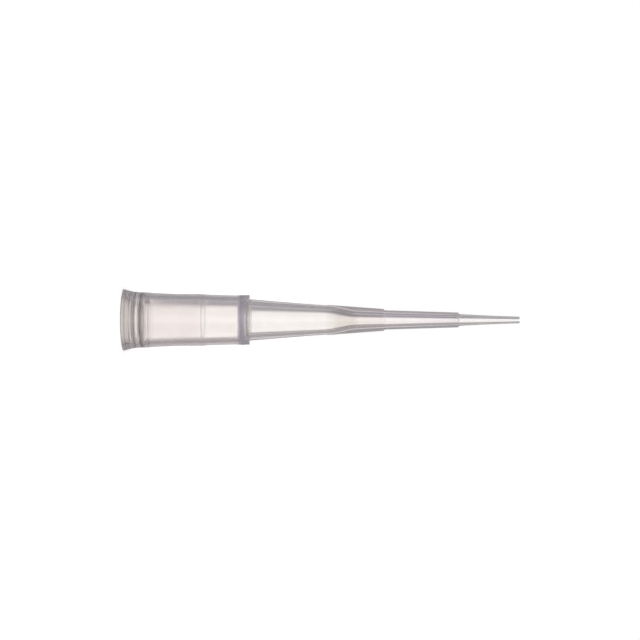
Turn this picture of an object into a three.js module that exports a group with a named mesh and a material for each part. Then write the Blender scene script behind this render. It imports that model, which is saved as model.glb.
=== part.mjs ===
// A disposable pipette tip of the long 10/20 microlitre form, moulded in one piece of clear polypropylene.
// It stands on its wide mouth with the fine end up. Lengths are in millimetres, +Z runs along the axis from
// the mouth to the fine end, and the origin is the middle of the mouth rim's plane.
import * as THREE from 'three';

// Facets around the axis: a multiple of four, so that the widest ring touches the box on all four sides.
const FACETS = 40;
const ARC_STEPS = 5;

// Heights along the axis, from the mouth rim up.
const HEIGHT = {
  flareTop: 1.7,        // the outside flare of the mouth runs into the head
  headTop: 3.05,        // the thick head that grips the pipette ends in a soft step
  gripTop: 3.17,
  waist: 6.6,           // the narrowest place of the grip zone
  bead: 8.4,            // a faint swelling above it
  collarFoot: 13.15,
  collarBase: 13.35,    // the collar that a rack plate carries
  shoulder: 14.69,      // the collar's flat shoulder, which faces the fine end
  swellFoot: 23.35,     // a low swelling where the bore narrows inside
  swellTop: 23.95,
  upperStep: 30.26,     // first graduation step, about 10 microlitres
  lowerStep: 38.92,     // second graduation step, about 2 microlitres
  end: 46,
};

// Outside radii at those heights.
const OUTER = {
  mouth: 3.6,
  flareTop: 3.24,
  headTop: 3.205,
  gripTop: 3.165,
  waist: 3.02,
  bead: 3.02,
  collarFoot: 2.865,
  collar: 2.887,
  belowShoulder: 2.425,
  swellFoot: 1.725,
  swellTop: 1.75,
  upperStep: 1.295,
  aboveUpperStep: 1.145,
  lowerStep: 0.872,
  aboveLowerStep: 0.7,
  end: 0.395,
};

// The soft ring step where the grip zone ends. Points are [radius, height].
const RING_STEP = [[3.018, 9.0], [3.0, 9.3], [2.965, 9.75], [2.943, 10.0]];

// The bore, from the mouth up: the lead-in cone, two rounded ribs that seal against the pipette's nozzle, the
// long hub bore with a shallow groove behind the ring step, the inner shoulder where the nozzle stops, the wide
// body bore, the cone where it narrows, and the fine bore that holds the sample. Points are [radius, height].
// A rib runs from one point to another and its crest is the radius that it leaves open.
const BORE = {
  mouth: [3.26, 0],
  leadInEnd: [2.73, 0.95],
  lowerRib: { from: [2.715, 1.09], to: [2.63, 1.8], crest: 2.52 },
  upperRib: { from: [2.63, 2.02], to: [2.58, 2.5], crest: 2.425 },
  reliefEnd: [2.52, 2.89],
  hub: [[2.455, 3.0], [2.22, 13.57]],
  groove: { heights: [8.93, 9.05, 9.18, 9.3], depth: 0.012 },
  innerShoulder: [[1.905, 14.09], [1.9, 14.32], [1.71, 14.45]],
  body: [[1.705, 14.6], [1.235, 23.85]],
  narrowing: [[1.154, 24.5], [0.8, 26.35]],
  fine: [[0.715, 27.1], [0.6, 30.6], [0.4, 38.3], [0.372, 39.2], [0.2, 46]],
};

// Small roundings.
const RIM_ROUND = 0.08;
const STEP_ROUND = 0.05;
const END_ROUND = 0.05;
const FLARE_HOLLOW = -0.05;     // how far the flare's middle lies inside its chord
const GRIP_HOLLOW = -0.012;
const BODY_HOLLOW = -0.01;
const SPOUT_HOLLOW = -0.03;
const NARROWING_ROUND = 0.011;  // the bore's bends at both ends of the narrowing cone
const FINE_ROUND = 0.014;

/** Points of a circular arc from a to b, without a itself, whose middle stands `bulge` off the chord.
 *  A positive bulge is on the right-hand side of the walk from a to b, which is outside of the plastic. */
function arc(a, b, bulge, steps = ARC_STEPS) {
  const [dr, dz] = [b[0] - a[0], b[1] - a[1]];
  const chord = Math.hypot(dr, dz);
  const radius = (chord * chord / 4 + bulge * bulge) / (2 * Math.abs(bulge));
  const half = Math.asin(chord / 2 / radius);
  const side = Math.sign(bulge);
  const points = [];
  for (let i = 1; i <= steps; i += 1) {
    const turn = half * (2 * i / steps - 1);
    const along = radius * Math.sin(turn) / chord;
    const off = side * radius * (Math.cos(turn) - Math.cos(half)) / chord;
    points.push([
      (a[0] + b[0]) / 2 + along * dr + off * dz,
      (a[1] + b[1]) / 2 + along * dz - off * dr,
    ]);
  }
  return points;
}

/** A right-angled corner rounded with the given radius: a quarter arc from a to b. */
function corner(a, b, steps = 3) {
  const radius = Math.abs(b[0] - a[0]);
  return [a, ...arc(a, b, radius * (1 - Math.SQRT1_2), steps)];
}

/** The outside of the tip, from the mouth rim up to the rim of the fine end. */
function outsideProfile() {
  const h = HEIGHT;
  const r = OUTER;
  const flareTop = [r.flareTop, h.flareTop];
  const waist = [r.waist, h.waist];
  const bead = [r.bead, h.bead];
  const belowShoulder = [r.belowShoulder, h.shoulder];
  const swellFoot = [r.swellFoot, h.swellFoot];
  const aboveLowerStep = [r.aboveLowerStep, h.lowerStep];
  const endEdge = [r.end, h.end - END_ROUND];
  return [
    ...corner([r.mouth - RIM_ROUND, 0], [r.mouth, RIM_ROUND]),
    ...arc([r.mouth, RIM_ROUND], flareTop, FLARE_HOLLOW),
    [r.headTop, h.headTop],
    [r.gripTop, h.gripTop],
    ...arc([r.gripTop, h.gripTop], waist, GRIP_HOLLOW, 3),
    ...arc(waist, bead, GRIP_HOLLOW / 2, 3),
    ...RING_STEP,
    [r.collarFoot, h.collarFoot],
    [r.collar, h.collarBase],
    ...corner([r.collar, h.shoulder - STEP_ROUND], [r.collar - STEP_ROUND, h.shoulder], 2),
    belowShoulder,
    ...arc(belowShoulder, swellFoot, BODY_HOLLOW, 4),
    ...arc(swellFoot, [r.swellTop, h.swellTop], -STEP_ROUND / 3, 3),
    ...corner([r.upperStep, h.upperStep - STEP_ROUND], [r.upperStep - STEP_ROUND, h.upperStep], 2),
    [r.aboveUpperStep, h.upperStep],
    ...corner([r.lowerStep, h.lowerStep - STEP_ROUND], [r.lowerStep - STEP_ROUND, h.lowerStep], 2),
    aboveLowerStep,
    ...arc(aboveLowerStep, endEdge, SPOUT_HOLLOW),
    ...arc(endEdge, [r.end - END_ROUND, h.end], END_ROUND * (1 - Math.SQRT1_2), 2),
  ];
}

/** A sealing rib of the bore, walked upwards: its foot and a round crest that stands into the bore. */
function rib({ from, to, crest }) {
  return [from, ...arc(from, to, crest - (from[0] + to[0]) / 2, ARC_STEPS + 1)];
}

/** The groove of the hub bore, walked upwards. Its middle two points lie deeper than the hub's cone. */
function hubGroove({ heights, depth }, [foot, top]) {
  const slope = (top[0] - foot[0]) / (top[1] - foot[1]);
  return heights.map((height, i) => {
    const cone = foot[0] + slope * (height - foot[1]);
    return [i === 1 || i === 2 ? cone + depth : cone, height];
  });
}

/** The bore, from the rim of the fine end down to the mouth. */
function boreProfile() {
  const b = BORE;
  const [bodyFoot, bodyTop] = b.body;
  const [coneFoot, coneTop] = b.narrowing;
  const [fineFoot, ...fineRest] = b.fine;
  const upwards = [
    b.mouth,
    b.leadInEnd,
    ...rib(b.lowerRib),
    ...rib(b.upperRib),
    b.reliefEnd,
    b.hub[0],
    ...hubGroove(b.groove, b.hub),
    b.hub[1],
    ...b.innerShoulder,
    bodyFoot,
    bodyTop,
    ...arc(bodyTop, coneFoot, NARROWING_ROUND, 3),
    coneTop,
    ...arc(coneTop, fineFoot, -FINE_ROUND, 3),
    ...fineRest,
  ];
  return upwards.reverse();
}

/** Turns the closed profile about the axis. */
function turnedBody(profile) {
  const closed = [...profile, profile[0]].map(([radius, height]) => new THREE.Vector2(radius, height));
  const geometry = new THREE.LatheGeometry(closed, FACETS);
  geometry.rotateX(Math.PI / 2);
  return geometry;
}

const clearPolypropylene = new THREE.MeshStandardMaterial({
  color: 0xe6dfe0,
  roughness: 0.22,
  metalness: 0,
  transparent: true,
  opacity: 0.55,
});

const tip = new THREE.Mesh(turnedBody([...outsideProfile(), ...boreProfile()]), clearPolypropylene);
tip.name = 'pipette_tip';

const pipetteTip = new THREE.Group();
pipetteTip.add(tip);

export default pipetteTip;
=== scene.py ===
# %% [markdown]
# # A clear pipette tip
#
# This lesson dresses one small laboratory part: a disposable pipette tip, moulded in one piece of
# clear polypropylene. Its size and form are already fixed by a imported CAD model, the frame. Blender
# adds what the eye needs: a finely turned surface, plastic that bends light, and a plain white
# studio.
#
# The first lines load the frame. The CAD box is kept, so that the finished model can be held
# against it.

# %% Load the frame
import math

import bpy
import numpy as np
from mathutils import Matrix, Vector


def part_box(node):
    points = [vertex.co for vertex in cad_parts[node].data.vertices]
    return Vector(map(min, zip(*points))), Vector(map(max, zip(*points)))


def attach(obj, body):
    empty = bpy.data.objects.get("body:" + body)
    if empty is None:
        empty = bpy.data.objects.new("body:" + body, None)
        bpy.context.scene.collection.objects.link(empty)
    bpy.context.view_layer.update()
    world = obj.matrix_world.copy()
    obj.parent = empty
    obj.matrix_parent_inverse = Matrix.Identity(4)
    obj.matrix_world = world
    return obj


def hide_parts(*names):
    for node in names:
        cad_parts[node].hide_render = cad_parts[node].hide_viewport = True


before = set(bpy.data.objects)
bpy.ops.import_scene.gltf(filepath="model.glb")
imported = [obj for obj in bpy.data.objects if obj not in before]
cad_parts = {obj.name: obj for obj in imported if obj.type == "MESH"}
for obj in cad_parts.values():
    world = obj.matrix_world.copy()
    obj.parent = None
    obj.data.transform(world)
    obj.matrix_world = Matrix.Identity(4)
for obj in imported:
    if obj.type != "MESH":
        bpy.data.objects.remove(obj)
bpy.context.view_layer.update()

MM = 0.001
NODE = "pipette_tip"
low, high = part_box(NODE)
tip_length = high.z - low.z
mouth_radius = (high.x - low.x) / 2
print(f"the tip is {tip_length / MM:.1f} mm long and {2 * mouth_radius / MM:.2f} mm wide at its mouth")

# %% [markdown]
# ## The camera
#
# The camera looks square at the middle of the tip, from far enough away for the perspective to be
# slight. It is rolled a quarter turn, so that a tip that stands on its mouth lies across the
# picture, mouth on the left. The lens follows from the distance and from how much of the picture's
# width the tip should take.

# %% Place the camera
CAMERA_DISTANCE = 0.206
TIP_SHARE_OF_WIDTH = 0.6188
SENSOR_WIDTH = 36.0
LOOK_HEIGHT = 0.4963        # the looked-at height, as a share of the tip's length
NEAREST_SEEN = 0.01


def rolled_camera(name, distance, height):
    """A camera on the -Y side at this height, looking along +Y.

    Its own right is +Z, so its own up is -X."""
    data = bpy.data.cameras.new(name)
    data.sensor_width = SENSOR_WIDTH
    data.lens = SENSOR_WIDTH * distance * TIP_SHARE_OF_WIDTH / tip_length
    data.clip_start = NEAREST_SEEN
    camera = bpy.data.objects.new(name, data)
    right, up, back, place = (0, 0, 1, 0), (-1, 0, 0, 0), (0, -1, 0, 0), (0, -distance, height, 1)
    camera.matrix_world = Matrix((right, up, back, place)).transposed()
    bpy.context.scene.collection.objects.link(camera)
    bpy.context.scene.camera = camera
    return camera


camera = rolled_camera("camera", CAMERA_DISTANCE, low.z + LOOK_HEIGHT * tip_length)
print(f"the lens is {camera.data.lens:.1f} mm")

# %% [markdown]
# ## The section of the moulding
#
# The tip is a body of revolution, so one half section says everything about its form. It could be
# typed in again here, but the CAD node already holds it: its facets start on the +X side, and the
# mesh edges that lie in the half plane y = 0, x > 0 are the section, in loose pieces. Walking from
# edge to edge puts its points in order, up the outside and back down the bore.

# %% Read the section from the CAD node
SAME_POINT = 1e-6


def section_of(node):
    """The node's section in the half plane y = 0, x > 0, as a closed loop of [radius, height] rows.

    Corners are merged by rounding, an edge counts if both of its ends lie in the half plane, and the
    walk always goes on to the neighbour that it did not come from."""
    mesh = node.data
    corners = np.empty(3 * len(mesh.vertices), np.float32)
    mesh.vertices.foreach_get("co", corners)
    corners = corners.reshape(-1, 3).astype(float)
    ends = np.empty(2 * len(mesh.edges), np.int32)
    mesh.edges.foreach_get("vertices", ends)
    ends = ends.reshape(-1, 2)
    in_plane = (np.abs(corners[:, 1]) < SAME_POINT) & (corners[:, 0] > SAME_POINT)
    whole = np.round(corners[:, (0, 2)] / SAME_POINT).astype(int)
    points, number = np.unique(whole, axis=0, return_inverse=True)
    pairs = number.reshape(-1)[ends[in_plane[ends].all(1)]]
    pairs = np.unique(np.sort(pairs, 1), axis=0)
    neighbours = {}
    for a, b in pairs[pairs[:, 0] != pairs[:, 1]]:
        neighbours.setdefault(a, []).append(b)
        neighbours.setdefault(b, []).append(a)
    start = min(neighbours, key=lambda i: (points[i][1], -points[i][0]))
    walk = [start, max(neighbours[start], key=lambda i: points[i][1] + points[i][0])]
    while True:
        onward = [i for i in neighbours[walk[-1]] if i != walk[-2]]
        if onward[0] == start:
            return points[walk] * SAME_POINT
        walk.append(onward[0])


coarse = section_of(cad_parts[NODE])
foot, top = coarse[:, 1].min() / MM, coarse[:, 1].max() / MM
print(f"the section has {len(coarse)} corners, from {foot:.2f} to {top:.2f} mm in height")

# %% [markdown]
# ## Rounding the section
#
# Clear plastic shows every corner of its section, because light bends there. A real mould has a
# small radius at each corner and long smooth sweeps elsewhere. So each corner is cut back and
# bridged by a curve: a sharp corner by a few hundredths of a millimetre, a gentle one by up to half
# of its shorter side, which turns the coarse arcs of the CAD model into smooth curves.

# %% Round the corners
SHARP_TURN = math.radians(33)
SHARP_CUT = 0.035 * MM
GENTLE_CUT = 0.3 * MM
SHARE_OF_SIDE = 0.499                     # less than half, so that two cuts on a side never meet
CURVE_STEPS = 5
LONGEST_STEP = 0.3 * MM


def rounded(loop):
    """The closed loop with every corner bridged by a quadratic curve.

    With corner P and the cut points A and B on its two sides, the bridge at t from 0 to 1 is
    (1 - t)^2 A + 2 t (1 - t) P + t^2 B."""
    before, after = np.roll(loop, 1, 0) - loop, np.roll(loop, -1, 0) - loop
    reach_before, reach_after = np.linalg.norm(before, axis=1), np.linalg.norm(after, axis=1)
    cosine = -(before * after).sum(1) / (reach_before * reach_after)
    turn = np.arccos(np.clip(cosine, -1, 1))
    most = np.where(turn > SHARP_TURN, SHARP_CUT, GENTLE_CUT)
    cut = np.minimum(most, SHARE_OF_SIDE * np.minimum(reach_before, reach_after))
    a = loop + before * (cut / reach_before)[:, None]
    b = loop + after * (cut / reach_after)[:, None]
    t = np.linspace(0, 1, CURVE_STEPS)[None, :, None]
    bridges = (1 - t) ** 2 * a[:, None] + 2 * t * (1 - t) * loop[:, None] + t ** 2 * b[:, None]
    return bridges.reshape(-1, 2)


def evenly_filled(loop, longest):
    """The closed loop with points added on its straight sides, so that no step exceeds `longest`.

    A side of length L gets the points A + (B - A) i / n for i from 0 to n - 1, where n is
    ceil(L / longest)."""
    ahead = np.roll(loop, -1, 0) - loop
    parts = np.maximum(1, np.ceil(np.linalg.norm(ahead, axis=1) / longest)).astype(int)
    side = np.repeat(np.arange(len(loop)), parts)
    place = np.arange(len(side)) - np.repeat(np.cumsum(parts) - parts, parts)
    return loop[side] + ahead[side] * (place / parts[side])[:, None]


section = evenly_filled(rounded(coarse), LONGEST_STEP)
print(f"the rounded section has {len(section)} points")

# %% [markdown]
# ## Turning it
#
# A point at radius r and height z sweeps the circle (r cos a, r sin a, z). Done for all the points
# and angles at once, that is a grid of vertices, and each cell of the grid is one face. Both
# directions wrap round, so the mesh is one closed skin: the outside, the end, the bore and the rim.

# %% Turn the section into a mesh
TURN_STEPS = 144


def turned_mesh(name, loop, steps):
    """The closed surface (r cos a, r sin a, z), for [r, z] on the loop and angle a = 2 pi j / steps.

    The loop runs up the outside and down the bore, so the order of each face's corners makes it point
    away from the plastic."""
    angle = 2 * np.pi * np.arange(steps) / steps
    radius, height = loop[:, 0][:, None], loop[:, 1][:, None]
    grid = np.stack([radius * np.cos(angle), radius * np.sin(angle), height + 0 * angle], axis=-1)
    ring, spoke = np.meshgrid(np.arange(len(loop)), np.arange(steps), indexing="ij")
    here, above = ring * steps, (ring + 1) % len(loop) * steps
    next_spoke = (spoke + 1) % steps
    corners = [here + spoke, here + next_spoke, above + next_spoke, above + spoke]
    faces = np.stack(corners, axis=-1).reshape(-1, 4)
    mesh = bpy.data.meshes.new(name)
    mesh.from_pydata(grid.reshape(-1, 3), [], faces)
    mesh.polygons.foreach_set("use_smooth", np.ones(len(faces), bool))
    mesh.validate()
    mesh.update()
    return mesh


tip = bpy.data.objects.new("moulded_tip", turned_mesh("moulded_tip", section, TURN_STEPS))
bpy.context.scene.collection.objects.link(tip)
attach(tip, "root")
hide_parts(NODE)
print(f"the tip has {len(tip.data.polygons)} faces")

# %% [markdown]
# ## A small language for shader maths
#
# Materials are graphs of nodes. Sums and products read better as Python, so one class wraps an
# output socket and turns + - * / into Math nodes. Every other node comes from one method, which
# takes the node's type, its settings and the values or links of its inputs.

# %% Write the socket wrapper
class Wire:
    """An output socket that can be used in sums. Each operator adds one Math node."""

    def __init__(self, socket):
        self.socket = socket

    def math(self, operation, *others, first=None):
        """The Math node of the operation on this wire and the others, or on `first` and this wire."""
        node = self.socket.id_data.nodes.new("ShaderNodeMath")
        node.operation = operation
        terms = (self, *others) if first is None else (first, self)
        for slot, term in zip(node.inputs, terms):
            if isinstance(term, Wire):
                self.socket.id_data.links.new(term.socket, slot)
            else:
                slot.default_value = term
        return Wire(node.outputs[0])

    def sibling(self, name):
        """Another output of the node that this wire comes from."""
        return Wire(self.socket.node.outputs[name])

    def __add__(self, other):
        return self.math("ADD", other)

    def __sub__(self, other):
        return self.math("SUBTRACT", other)

    def __rsub__(self, other):
        return self.math("SUBTRACT", first=other)

    def __mul__(self, other):
        return self.math("MULTIPLY", other)

    def __truediv__(self, other):
        return self.math("DIVIDE", other)

    __radd__ = __add__
    __rmul__ = __mul__


class Graph:
    """The node tree of a material or a world, emptied and ready to be filled."""

    def __init__(self, owner):
        owner.use_nodes = True
        self.tree = owner.node_tree
        self.tree.nodes.clear()

    def node(self, kind, settings=None, inputs=None, output=0):
        """Adds a node and gives the wire of one output.

        A ramp's setting `stops` is a row of (place, colour) pairs."""
        made = self.tree.nodes.new("ShaderNode" + kind)
        for name, value in (settings or {}).items():
            if name == "stops":
                self.set_stops(made.color_ramp, value)
            else:
                setattr(made, name, value)
        for name, value in (inputs or {}).items():
            if isinstance(value, Wire):
                self.tree.links.new(value.socket, made.inputs[name])
            else:
                made.inputs[name].default_value = value
        return Wire(made.outputs[output]) if made.outputs else made

    def step(self, value, zero_at, one_at):
        """A smooth step of the value: 0 at `zero_at`, 1 at `one_at`, t * t * (3 - 2 t) between them."""
        settings = {"interpolation_type": "SMOOTHSTEP"}
        inputs = {"Value": value, "From Min": zero_at, "From Max": one_at}
        return self.node("MapRange", settings, inputs)

    def mix(self, share, first, second, blend="MIX"):
        """The second colour laid over the first at a share from 0 to 1.

        Each is a colour or a colour wire."""
        ends = [end if isinstance(end, Wire) else (*end, 1) for end in (first, second)]
        settings = {"data_type": "RGBA", "blend_type": blend}
        return self.node("Mix", settings, {0: share, 6: ends[0], 7: ends[1]}, 2)

    @staticmethod
    def set_stops(ramp, stops):
        """Puts the (place, colour) pairs on a colour ramp. The first and last place are 0 and 1."""
        for place, _ in stops[1:-1]:
            ramp.elements.new(place)
        for element, (_, colour) in zip(ramp.elements, stops):
            element.color = (*colour, 1)


print("the shader wrapper is ready")

# %% [markdown]
# ## The finish and painted shade along the tip
#
# A mould isn't polished alike all over. The head round the mouth is hazy, and its darker tints are
# painted shade for the bands and rings that light draws there. The grip zone above it is lightly
# frosted, apart from a line at the foot of the ring step that is a little less rough and is a painted
# light line, its tint going to white. The lower half of the thick collar is matt, and the whole
# collar is darkened to a bluish grey by painted shade. The cone in which the bore narrows is a little
# darker, and a faint darker band lies near 38.7 mm. That could be painted by hand, but the tip is the
# same all round, so a table that gives the tint and the roughness at a row of heights says it all.
# Between two rows both change evenly.

# %% Write down the finish and the painted shade
# Each row is a height in millimetres, a tint, partly painted shade and light, and a roughness.
FINISH_AND_PAINTED_LIGHT = (
    # Up to 2.98 mm the darker tints are painted shade round the mouth.
    (0.0, (0.880, 0.852, 0.838), 0.12),
    (0.35, (0.880, 0.852, 0.838), 0.12),
    (0.5, (0.820, 0.795, 0.780), 0.12),
    (1.05, (0.820, 0.795, 0.780), 0.12),
    (1.25, (0.805, 0.780, 0.775), 0.12),
    (2.4, (0.805, 0.775, 0.775), 0.12),
    (2.6, (0.865, 0.830, 0.832), 0.12),
    (2.98, (0.860, 0.826, 0.824), 0.12),
    (3.06, (0.986, 0.952, 0.944), 0.15),
    (8.82, (0.986, 0.956, 0.948), 0.15),
    # The white rows at 8.92 and 9.02 mm are a painted light line.
    (8.92, (1.0, 1.0, 1.0), 0.12),
    (9.02, (1.0, 1.0, 1.0), 0.12),
    (9.12, (0.986, 0.956, 0.948), 0.15),
    (9.3, (0.986, 0.956, 0.948), 0.15),
    (9.7, (0.996, 0.980, 0.974), 0.06),
    (13.52, (0.996, 0.980, 0.974), 0.06),
    # From 13.56 to 14.54 mm the tints are painted shade on the collar.
    (13.56, (0.740, 0.735, 0.810), 0.75),
    (13.75, (0.800, 0.795, 0.870), 0.75),
    (14.04, (0.800, 0.785, 0.850), 0.75),
    (14.14, (0.860, 0.830, 0.815), 0.26),
    (14.54, (0.750, 0.720, 0.710), 0.26),
    (14.66, (1.0, 0.992, 0.984), 0.06),
    (23.6, (1.0, 0.994, 0.988), 0.05),
    (25.0, (0.920, 0.898, 0.872), 0.05),
    (26.5, (0.905, 0.883, 0.860), 0.05),
    (27.3, (0.970, 0.945, 0.925), 0.05),
    (30.1, (0.975, 0.945, 0.945), 0.05),
    (30.7, (1.0, 0.990, 0.995), 0.05),
    (34.0, (1.0, 0.985, 0.990), 0.05),
    # A faint darker band near 38.7 mm.
    (38.7, (0.950, 0.935, 0.950), 0.05),
    (39.2, (1.0, 1.0, 1.0), 0.05),
    (46.0, (1.0, 1.0, 1.0), 0.05),
)

print(f"the finish has {len(FINISH_AND_PAINTED_LIGHT)} rows")

# %% [markdown]
# ## Clear polypropylene
#
# The plastic is a Principled shader that transmits light and bends it as polypropylene does. Two
# colour ramps carry the table's tints, painted shade and light included, and its roughness along the
# tip.
#
# Some finishes belong to one side of the wall only. Inside the bore the sealing ribs are matt and
# darkened by painted shade, and the groove behind the ring step shows as a fine line of painted
# shade. Outside, the edges of the rim, the head and the ring step show as fine dark lines of painted
# shade. A faint mottling covers everything, as in any moulding.
#
# Some light is trapped in the wall and runs round in it, longer than a render can follow. Where a
# ray has been reflected or has crossed a surface that often, the plastic glows in the room's even
# tone instead of going black: painted light that stands in for the lost light.

# %% Make the plastic
POLYPROPYLENE_IOR = 1.49
CLEAR_SHARE = 0.98          # the rest is plain diffuse, the milkiness of polypropylene
BLACK = (0, 0, 0)

# Heights, radii and the reach of soft edges are in millimetres.
SEALING_RIBS = ((1.27, 1.54), (2.0, 2.38))
# The ribs' darkening is painted shade.
RIB_PAINTED_SHADE = 0.58
RIB_ROUGHNESS = 0.57
RIB_SOFT = 0.08
BORE_LIMIT = 2.95           # up to the ring step, what lies inside this radius is the bore
BORE_SOFT = 0.05

# Each line of painted shade is its two heights and its shade, first the ones outside, then the one in
# the bore.
EDGE_PAINTED_SHADE = (
    ((0.28, 0.46), 0.28),
    ((3.05, 3.13), 0.28),
    ((9.16, 9.30), 0.12),
)
# The groove's line in the bore is painted shade too.
GROOVE_PAINTED_SHADE = ((9.06, 9.20), 0.22)
LINE_SOFT = 0.03

CLOUD_SIZE = 1.1            # the mottling's noise: size, detail, and where it starts and is full
CLOUD_DETAIL = 3.0
CLOUD_FROM, CLOUD_FULL = 0.3, 0.7
CLOUD_SHADE = (0.985, 0.980, 0.980)
SMOOTHEST, ROUGHER_BY = 0.7, 0.6      # the roughness goes from 0.7 to 1.3 times the table's

REFLECTED_TOO_OFTEN = 3.5   # a ray's reflections, from which it counts as trapped
FOLLOWED_TOO_LONG = 11.5    # a ray's turns of every kind
# The plastic's glow for trapped rays, painted light in the room's tone.
TRAPPED_LIGHT_GLOW = (0.19, 0.18, 0.19)


def band(graph, height, ends, soft):
    """1 between two heights and 0 outside them, by two smooth steps `soft` to each side of its ends."""
    foot, top = ends
    return graph.step(height, foot - soft, foot + soft) * graph.step(height, top + soft, top - soft)


def clear_polypropylene():
    """Transmitting plastic whose tint, painted shade and light included, and polish follow the table of
    heights.
    """
    material = bpy.data.materials.new("clear_polypropylene")
    graph = Graph(material)
    place = graph.node("TexCoord", output="Object")
    x = graph.node("SeparateXYZ", inputs={"Vector": place}, output="X")
    y, height = x.sibling("Y"), x.sibling("Z") / MM
    radius = (x * x + y * y).math("SQRT") / MM
    share = height * (MM / tip_length)
    tints = [(row[0] * MM / tip_length, row[1]) for row in FINISH_AND_PAINTED_LIGHT]
    greys = [(row[0] * MM / tip_length, 3 * (row[2],)) for row in FINISH_AND_PAINTED_LIGHT]
    tint = graph.node("ValToRGB", {"stops": tints}, {"Fac": share})
    rough = graph.node("ValToRGB", {"stops": greys}, {"Fac": share})
    size = {"Scale": 1 / (CLOUD_SIZE * MM), "Detail": CLOUD_DETAIL}
    cloud = graph.node("TexNoise", inputs={"Vector": place, **size}, output="Fac")
    mottle = graph.step(cloud, CLOUD_FROM, CLOUD_FULL)
    inside = graph.step(radius, BORE_LIMIT + BORE_SOFT, BORE_LIMIT)
    # Painted shade: the ribs, the outside edge lines and the groove line darken the tint.
    ribs = sum(band(graph, height, ends, RIB_SOFT) for ends in SEALING_RIBS) * inside
    painted_lines = sum(band(graph, height, ends, LINE_SOFT) * shade for ends, shade in EDGE_PAINTED_SHADE)
    groove_heights, groove_shade = GROOVE_PAINTED_SHADE
    painted_groove_line = band(graph, height, groove_heights, LINE_SOFT) * (inside * groove_shade)
    painted_lines = painted_lines * (1 - inside) + painted_groove_line
    tint = graph.mix(mottle, tint, CLOUD_SHADE, "MULTIPLY")
    tint = graph.mix(ribs * RIB_PAINTED_SHADE + painted_lines, tint, BLACK)
    rough = rough * (SMOOTHEST + ROUGHER_BY * mottle)
    rough = rough.math("MAXIMUM", ribs * RIB_ROUGHNESS)
    reflections = graph.node("LightPath", output="Glossy Depth")
    turns = reflections.sibling("Ray Depth")
    reflected = reflections.math("GREATER_THAN", REFLECTED_TOO_OFTEN)
    lost = turns.math("GREATER_THAN", FOLLOWED_TOO_LONG)
    plastic = graph.node(
        "BsdfPrincipled",
        inputs={
            "Base Color": tint,
            "Roughness": rough,
            "IOR": POLYPROPYLENE_IOR,
            "Transmission Weight": CLEAR_SHARE,
            # The emission is a painted glow where a ray is trapped.
            "Emission Color": graph.mix(reflected.math("MAXIMUM", lost), BLACK, TRAPPED_LIGHT_GLOW),
            "Emission Strength": 1.0,
        },
    )
    graph.node("OutputMaterial", inputs={"Surface": plastic})
    return material


tip.data.materials.append(clear_polypropylene())
print("the tip's material is", tip.data.materials[0].name)

# %% [markdown]
# ## The surroundings
#
# Clear plastic has no look of its own: it shows what stands behind it, bent aside. A white backdrop
# stands behind the tip. Near the walls of the bore the light is bent past the backdrop's edge and
# shows the dimmer room, which draws the grey bands along both sides. The same backdrop stands on
# all four sides, so that the tip looks alike from each. Seen level from a diagonal in between, the
# plastic shows the room and looks grey. High up the room is dim as well, which darkens the rings
# where the bore steps inwards.
#
# What a ray has been through is known from the Light Path node. Light that has crossed both walls
# on a slant down meets the white floor, as does all light on a steep slant, so that the middle of
# the tip stays clear in a view from above. Light that only ran along inside one wall has come a
# long way through the plastic, so it is dulled, and the bands keep their tone up to the outline.

# %% Light the surroundings
BACKDROP_MIDDLE = math.radians(5.75)      # aside from the axes
BACKDROP_SOLID = math.radians(11.5)       # full brightness up to here on both sides of its middle
BACKDROP_EDGE = math.radians(21)          # and the room's from here
HALF_SPACING = math.radians(45)           # half the way from one backdrop to the next
FLOOR_FROM, FLOOR_FULL = math.radians(-7), math.radians(-9.5)
FLOOR_SHARE = 0.9
STEEP_FROM, STEEP_FULL = math.radians(-30), math.radians(-38)
CEILING_FROM, CEILING_FULL = math.radians(8), math.radians(24)
BACKDROP_WHITE = (1.04, 1.015, 0.99)
ROOM_SHADE = (0.295, 0.288, 0.317)
ROOM_WARM = (0.39, 0.35, 0.365)
AMBIENT = (0.6, 0.6, 0.6)                 # the light on everything that isn't clear
WHITE = (1, 1, 1)
BOTH_WALLS = 3.5                          # four surfaces crossed, so more than this
ONCE = 0.5                                # a count of one or more is greater than this
WALL_SHARE = 0.5                          # what is left of the light that only ran along in one wall


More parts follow.
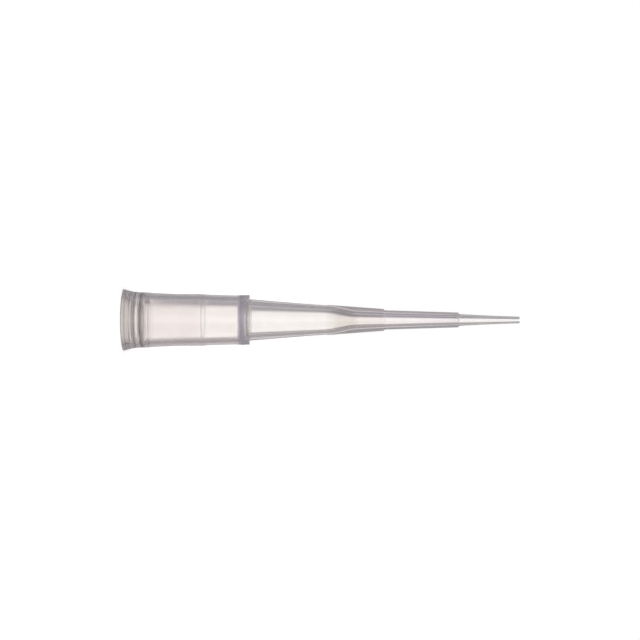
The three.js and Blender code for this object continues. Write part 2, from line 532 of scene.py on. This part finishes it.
def studio_world():
    """White for the camera, and a room with four white backdrops for glossy and transmitted rays.

    The azimuth of a ray is atan2(x, y). Wrapped to the quarter turn round the nearest backdrop, its
    size says how far the ray misses the backdrop's middle, and a smooth step of it is the backdrop's
    light."""
    world = bpy.data.worlds.new("studio")
    bpy.context.scene.world = world
    graph = Graph(world)
    way = graph.node("TexCoord", output="Generated")
    x = graph.node("SeparateXYZ", inputs={"Vector": way}, output="X")
    y, z = x.sibling("Y"), x.sibling("Z")
    azimuth = x.math("ARCTAN2", y)
    aside = (azimuth - BACKDROP_MIDDLE).math("WRAP", HALF_SPACING, -HALF_SPACING).math("ABSOLUTE")
    camera_ray = graph.node("LightPath", output="Is Camera Ray")
    glossy = camera_ray.sibling("Is Glossy Ray")
    through = camera_ray.sibling("Is Transmission Ray")
    depth = camera_ray.sibling("Transmission Depth")
    crossed = depth.math("GREATER_THAN", BOTH_WALLS)
    bounced = camera_ray.sibling("Glossy Depth").math("GREATER_THAN", ONCE)
    in_wall = bounced * depth.math("GREATER_THAN", ONCE) * (1 - crossed)
    slant = z.math("ARCSINE")
    backdrop = graph.step(aside, BACKDROP_EDGE, BACKDROP_SOLID)
    backdrop = backdrop * graph.step(slant, CEILING_FULL, CEILING_FROM)
    backdrop = backdrop * (1 - (1 - WALL_SHARE) * in_wall)
    floor = graph.step(slant, FLOOR_FROM, FLOOR_FULL) * crossed
    floor = floor.math("MAXIMUM", graph.step(slant, STEEP_FROM, STEEP_FULL)) * FLOOR_SHARE
    light = backdrop.math("MAXIMUM", floor)
    turned = 0.5 + 0.5 * azimuth.math("SINE")
    room = graph.mix(turned, ROOM_SHADE, ROOM_WARM)
    seen = graph.node("Background", inputs={"Color": graph.mix(light, room, BACKDROP_WHITE)})
    ambient = graph.node("Background", inputs={"Color": (*AMBIENT, 1)})
    white = graph.node("Background", inputs={"Color": (*WHITE, 1)})
    on_plastic = glossy.math("MAXIMUM", through)
    bent = graph.node("MixShader", inputs={"Fac": on_plastic, 1: ambient, 2: seen})
    shown = graph.node("MixShader", inputs={"Fac": camera_ray, 1: bent, 2: white})
    graph.node("OutputWorld", inputs={"Surface": shown})
    return world


studio_world()
print("the backdrops are in place")

# %% [markdown]
# ## The studio floor and its lamp
#
# The floor is a plain pale sheet under the mouth. One distant soft lamp lights it evenly, so that
# it meets the white surroundings without an edge and still keeps the tip's shadow. Rays that pass
# through the plastic skip the floor, so that the bands run on down to the rim.

# %% Lay the floor and hang the lamp
FLOOR_HALF = 3.0
FLOOR_WHITE = 0.85
FLOOR_GLOW = 0.34
LAMP_STRENGTH = 1.2
LAMP_WIDTH = math.radians(25)
LAMP_TOWARDS = (0, 0.6, -0.8)


def pale_floor():
    """A flat square at the height of the mouth rim."""
    mesh = bpy.data.meshes.new("floor")
    square = np.array([(-1, -1, 0), (1, -1, 0), (1, 1, 0), (-1, 1, 0)]) * FLOOR_HALF
    mesh.from_pydata(square + (0, 0, low.z), [], [(0, 1, 2, 3)])
    floor = bpy.data.objects.new("floor", mesh)
    bpy.context.scene.collection.objects.link(floor)
    material = bpy.data.materials.new("floor")
    graph = Graph(material)
    camera_ray = graph.node("LightPath", output="Is Camera Ray")
    matt = graph.node("BsdfDiffuse", inputs={"Color": (FLOOR_WHITE, FLOOR_WHITE, FLOOR_WHITE, 1)})
    glow = graph.node("Emission", inputs={"Strength": FLOOR_GLOW * camera_ray})
    both = graph.node("AddShader", inputs={0: matt, 1: glow})
    graph.node("OutputMaterial", inputs={"Surface": both})
    mesh.materials.append(material)
    floor.visible_transmission = False
    floor.visible_glossy = False
    return floor


def soft_sun(name, towards):
    """A distant lamp whose light travels towards a direction."""
    data = bpy.data.lights.new(name, "SUN")
    data.energy = LAMP_STRENGTH
    data.angle = LAMP_WIDTH
    lamp = bpy.data.objects.new(name, data)
    lamp.rotation_euler = Vector(towards).to_track_quat("-Z", "Y").to_euler()
    lamp.visible_glossy = False
    lamp.visible_transmission = False
    bpy.context.scene.collection.objects.link(lamp)
    return lamp


pale_floor()
soft_sun("key", LAMP_TOWARDS)
bpy.context.scene.view_settings.view_transform = "Standard"
print("floor and lamp are in place")
